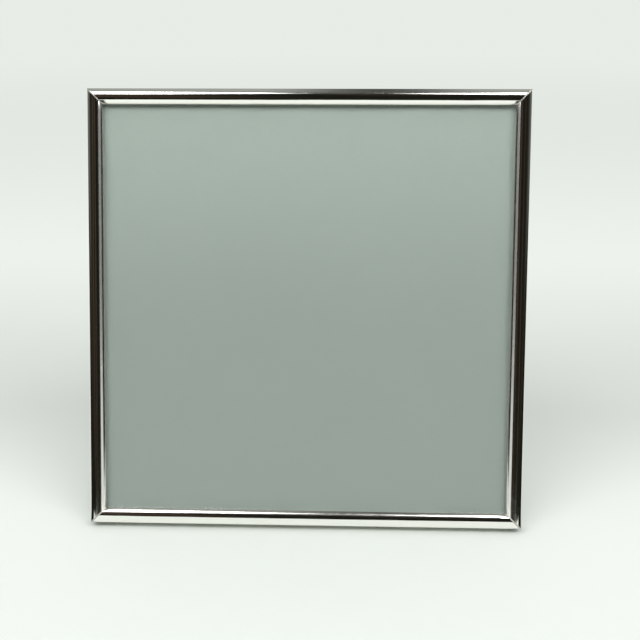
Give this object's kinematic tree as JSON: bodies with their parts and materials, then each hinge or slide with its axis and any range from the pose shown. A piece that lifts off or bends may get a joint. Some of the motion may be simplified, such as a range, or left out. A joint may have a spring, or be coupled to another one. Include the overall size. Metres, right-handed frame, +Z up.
{
  "type": "photo frame",
  "caption": "Slim polished metal photo frame with mitred shallow-crowned rails, a glass pane, a plain sheet and a velvet back with a folding easel strut.",
  "frame": {"origin": "on the table, at the middle of the model's footprint", "axes": "+X to the viewer's right, +Y from the front to the rear, +Z up; the face is leaned back 13.5 degrees"},
  "size_m": [0.16, 0.0548, 0.1575],
  "materials": {
    "silver_plate": "mirror polished silver plate",
    "zinc_keys": "die-cast zinc, matt",
    "clear_glass": "clear float glass",
    "grey_green_sheet": "smooth matt paper",
    "filler_card": "uncoated card",
    "hardboard": "pressed fibre board",
    "velvet": "short-pile velvet",
    "nickel_fittings": "nickel-plated steel",
    "nickel_hinge": "nickel-plated steel, bent sheet"
  },
  "bodies": {
    "frame": {"rail_top": "silver_plate", "rail_bottom": "silver_plate", "rail_left": "silver_plate", "rail_right": "silver_plate", "corner_key_top_left": "zinc_keys", "corner_key_top_right": "zinc_keys", "corner_key_bottom_left": "zinc_keys", "corner_key_bottom_right": "zinc_keys", "glass_pane": "clear_glass", "backing_sheet": "grey_green_sheet", "filler_card": "filler_card", "back_board": "hardboard", "back_cloth": "velvet", "button_rivet_upper_left": "nickel_fittings", "button_rivet_upper_right": "nickel_fittings", "button_rivet_lower_left": "nickel_fittings", "button_rivet_lower_right": "nickel_fittings", "button_washer_upper_left": "nickel_fittings", "button_washer_upper_right": "nickel_fittings", "button_washer_lower_left": "nickel_fittings", "button_washer_lower_right": "nickel_fittings", "hinge_fixed_leaf": "nickel_hinge", "hinge_pin": "nickel_hinge", "fixed_leaf_rivet_left": "nickel_fittings", "fixed_leaf_rivet_right": "nickel_fittings"},
    "strut": {"strut_board": "hardboard", "strut_cloth": "velvet", "hinge_strut_leaf": "nickel_hinge", "strut_leaf_rivet_left": "nickel_fittings", "strut_leaf_rivet_right": "nickel_fittings"},
    "button_upper_left": {"turn_button_upper_left": "nickel_fittings"},
    "button_upper_right": {"turn_button_upper_right": "nickel_fittings"},
    "button_lower_left": {"turn_button_lower_left": "nickel_fittings"},
    "button_lower_right": {"turn_button_lower_right": "nickel_fittings"}
  },
  "joints": [
    {"name": "strut_fold", "type": "hinge", "parent": "frame", "child": "strut", "pos_m": [0, 0.00746, 0.0966], "axis": [1, 0, 0], "range_deg": [-24.7, 0]},
    {"name": "button_turn_upper_left", "type": "hinge", "parent": "frame", "child": "button_upper_left", "pos_m": [-0.0665, 0.01022, 0.11856], "axis": [0, 0.9724, -0.2334], "continuous": true},
    {"name": "button_turn_upper_right", "type": "hinge", "parent": "frame", "child": "button_upper_right", "pos_m": [0.0665, 0.01022, 0.11856], "axis": [0, 0.9724, -0.2334], "continuous": true},
    {"name": "button_turn_lower_left", "type": "hinge", "parent": "frame", "child": "button_lower_left", "pos_m": [-0.0665, -0.00939, 0.03688], "axis": [0, 0.9724, -0.2334], "continuous": true},
    {"name": "button_turn_lower_right", "type": "hinge", "parent": "frame", "child": "button_lower_right", "pos_m": [0.0665, -0.00939, 0.03688], "axis": [0, 0.9724, -0.2334], "continuous": true}
  ]
}
